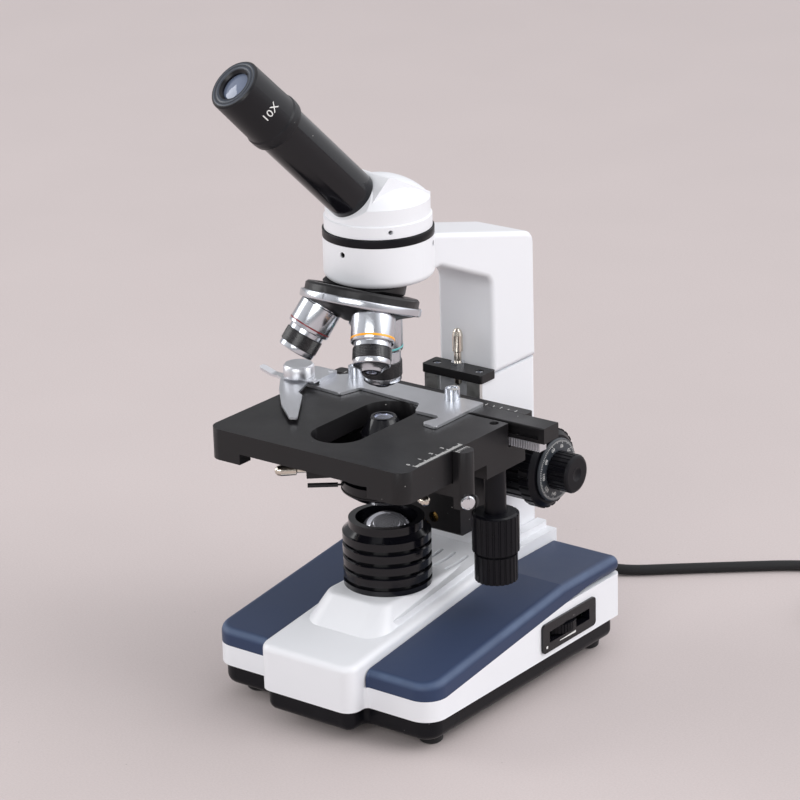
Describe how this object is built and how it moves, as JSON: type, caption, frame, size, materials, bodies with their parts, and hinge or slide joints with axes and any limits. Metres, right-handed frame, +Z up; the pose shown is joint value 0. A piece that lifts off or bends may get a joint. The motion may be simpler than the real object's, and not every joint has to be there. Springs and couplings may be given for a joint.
{
  "type": "microscope",
  "caption": "Monocular student microscope with inclined head, triple nosepiece, mechanical stage, condenser, built-in illuminator, focus knobs and mains lead.",
  "frame": {"origin": "bottom centre of the microscope's own box, without the mains lead, on the plane of the rubber feet", "axes": "+Z up, -Y towards the user at the front, +X to the user's right"},
  "size_m": [0.3435, 0.3939, 0.3786],
  "materials": {
    "white_paint": "satin",
    "blue_panel": "soft matt",
    "black_plastic": "matt",
    "black_gloss": "glossy",
    "black_metal": "satin",
    "grey_metal": "satin",
    "rubber": "matt",
    "chrome": "polished",
    "steel": "brushed",
    "aluminium": "satin",
    "brass": "satin",
    "glass": "clear",
    "circuit": "matt"
  },
  "bodies": {
    "stand": {"base_housing": "white_paint", "side_panel_right": "blue_panel", "side_panel_left": "blue_panel", "bottom_tray": "black_plastic", "rubber_feet": "rubber", "foot_screws": "steel", "lamp_housing": "black_gloss", "collector_lens": "glass", "lamp": "glass", "power_board": "circuit", "dimmer_bezel": "black_gloss", "cable_gland": "rubber", "power_cord": "rubber", "power_cord_coil": "rubber", "power_plug": "rubber", "lower_arm": "white_paint", "upper_arm": "white_paint", "guide_rails": "aluminium", "limit_bar": "black_metal", "limit_bar_fasteners": "chrome", "head_collar": "black_plastic", "nosepiece_mount": "black_metal"},
    "head": {"prism_housing": "white_paint", "prism": "glass", "eyepiece_tube": "black_gloss"},
    "ocular": {"eyepiece": "black_metal", "eye_lens": "glass"},
    "nosepiece": {"turret_body": "black_metal", "turret_ring": "chrome", "turret_screw": "chrome", "objective_4x": "chrome", "objective_10x": "chrome", "objective_40x": "chrome", "objective_grips": "black_metal", "objective_lenses": "glass"},
    "carriage": {"stage_carriage": "black_metal", "focus_rack": "steel", "vernier_post": "black_metal", "condenser_holder": "black_metal", "condenser_screws": "chrome"},
    "stage": {"stage_plate": "black_metal"},
    "slide_mover": {"x_bar": "black_metal", "x_rack": "steel", "slide_holder": "steel", "holder_thumbscrews": "chrome", "finger_mount": "steel"},
    "finger": {"slide_finger": "steel"},
    "y_drive": {"y_knob": "black_plastic"},
    "x_drive": {"x_knob": "black_plastic"},
    "coarse_drive": {"coarse_shaft": "steel", "coarse_knobs": "black_plastic"},
    "fine_drive": {"fine_shaft": "steel", "fine_scale_ring": "grey_metal", "fine_knob_right": "black_plastic", "fine_knob_left": "black_plastic"},
    "condenser": {"condenser_barrel": "black_metal", "condenser_lens": "glass"},
    "iris": {"iris_lever": "black_metal"},
    "dimmer": {"dimmer_wheel": "black_plastic"},
    "stop_screw": {"limit_screw": "chrome"}
  },
  "joints": [
    {"name": "head_swivel", "type": "hinge", "parent": "stand", "child": "head", "pos_m": [0.0035, -0.01031, 0.272], "axis": [0, 0, 1], "continuous": true},
    {"name": "eyepiece_pull", "type": "slide", "parent": "head", "child": "ocular", "axis": [-0.1711, -0.6861, 0.7071], "range_m": [0, 0.03]},
    {"name": "nosepiece_turn", "type": "hinge", "parent": "stand", "child": "nosepiece", "pos_m": [0.0035, -0.01031, 0.2824], "axis": [0, -0.342, -0.9397], "continuous": true},
    {"name": "stage_focus", "type": "slide", "parent": "stand", "child": "carriage", "axis": [0, 0, 1], "range_m": [-0.006, 0.0115]},
    {"name": "coarse_turn", "type": "hinge", "parent": "stand", "child": "coarse_drive", "pos_m": [0.0035, 0.07369, 0.1175], "axis": [1, 0, 0], "range_deg": [-115, 60]},
    {"name": "fine_turn", "type": "hinge", "parent": "stand", "child": "fine_drive", "pos_m": [0.0035, 0.07369, 0.1175], "axis": [1, 0, 0], "continuous": true},
    {"name": "stage_y", "type": "slide", "parent": "carriage", "child": "stage", "axis": [0, 1, 0], "range_m": [-0.004, 0.014]},
    {"name": "stage_x", "type": "slide", "parent": "stage", "child": "slide_mover", "axis": [1, 0, 0], "range_m": [-0.022, 0.022]},
    {"name": "finger_open", "type": "hinge", "parent": "slide_mover", "child": "finger", "pos_m": [-0.0665, 0.00229, 0.1686], "axis": [0, 0, -1], "range_deg": [0, 25], "stiffness_Nm_per_rad": 0.08},
    {"name": "y_drive_turn", "type": "hinge", "parent": "stage", "child": "y_drive", "pos_m": [0.0645, 0.00969, 0.102], "axis": [0, 0, 1], "range_deg": [-40, 135]},
    {"name": "x_drive_turn", "type": "hinge", "parent": "stage", "child": "x_drive", "pos_m": [0.0645, 0.00969, 0.082], "axis": [0, 0, 1], "range_deg": [-215, 215]},
    {"name": "condenser_lift", "type": "slide", "parent": "carriage", "child": "condenser", "axis": [0, 0, 1], "range_m": [-0.004, 0]},
    {"name": "iris_turn", "type": "hinge", "parent": "condenser", "child": "iris", "pos_m": [0.0035, -0.01031, 0.1254], "axis": [0, 0, 1], "range_deg": [-45, 45]},
    {"name": "dimmer_turn", "type": "hinge", "parent": "stand", "child": "dimmer", "pos_m": [0.071, 0.05569, 0.0326], "axis": [0, 0, 1], "range_deg": [0, 270]},
    {"name": "stop_screw_set", "type": "slide", "parent": "stand", "child": "stop_screw", "axis": [0, 0, 1], "range_m": [-0.0005, 0.006]}
  ],
  "couplings": [
    {"joint": "coarse_turn", "follows": "stage_focus", "rad_per_m": -166.67},
    {"joint": "y_drive_turn", "follows": "stage_y", "rad_per_m": 161.29},
    {"joint": "x_drive_turn", "follows": "stage_x", "rad_per_m": -166.67}
  ]
}
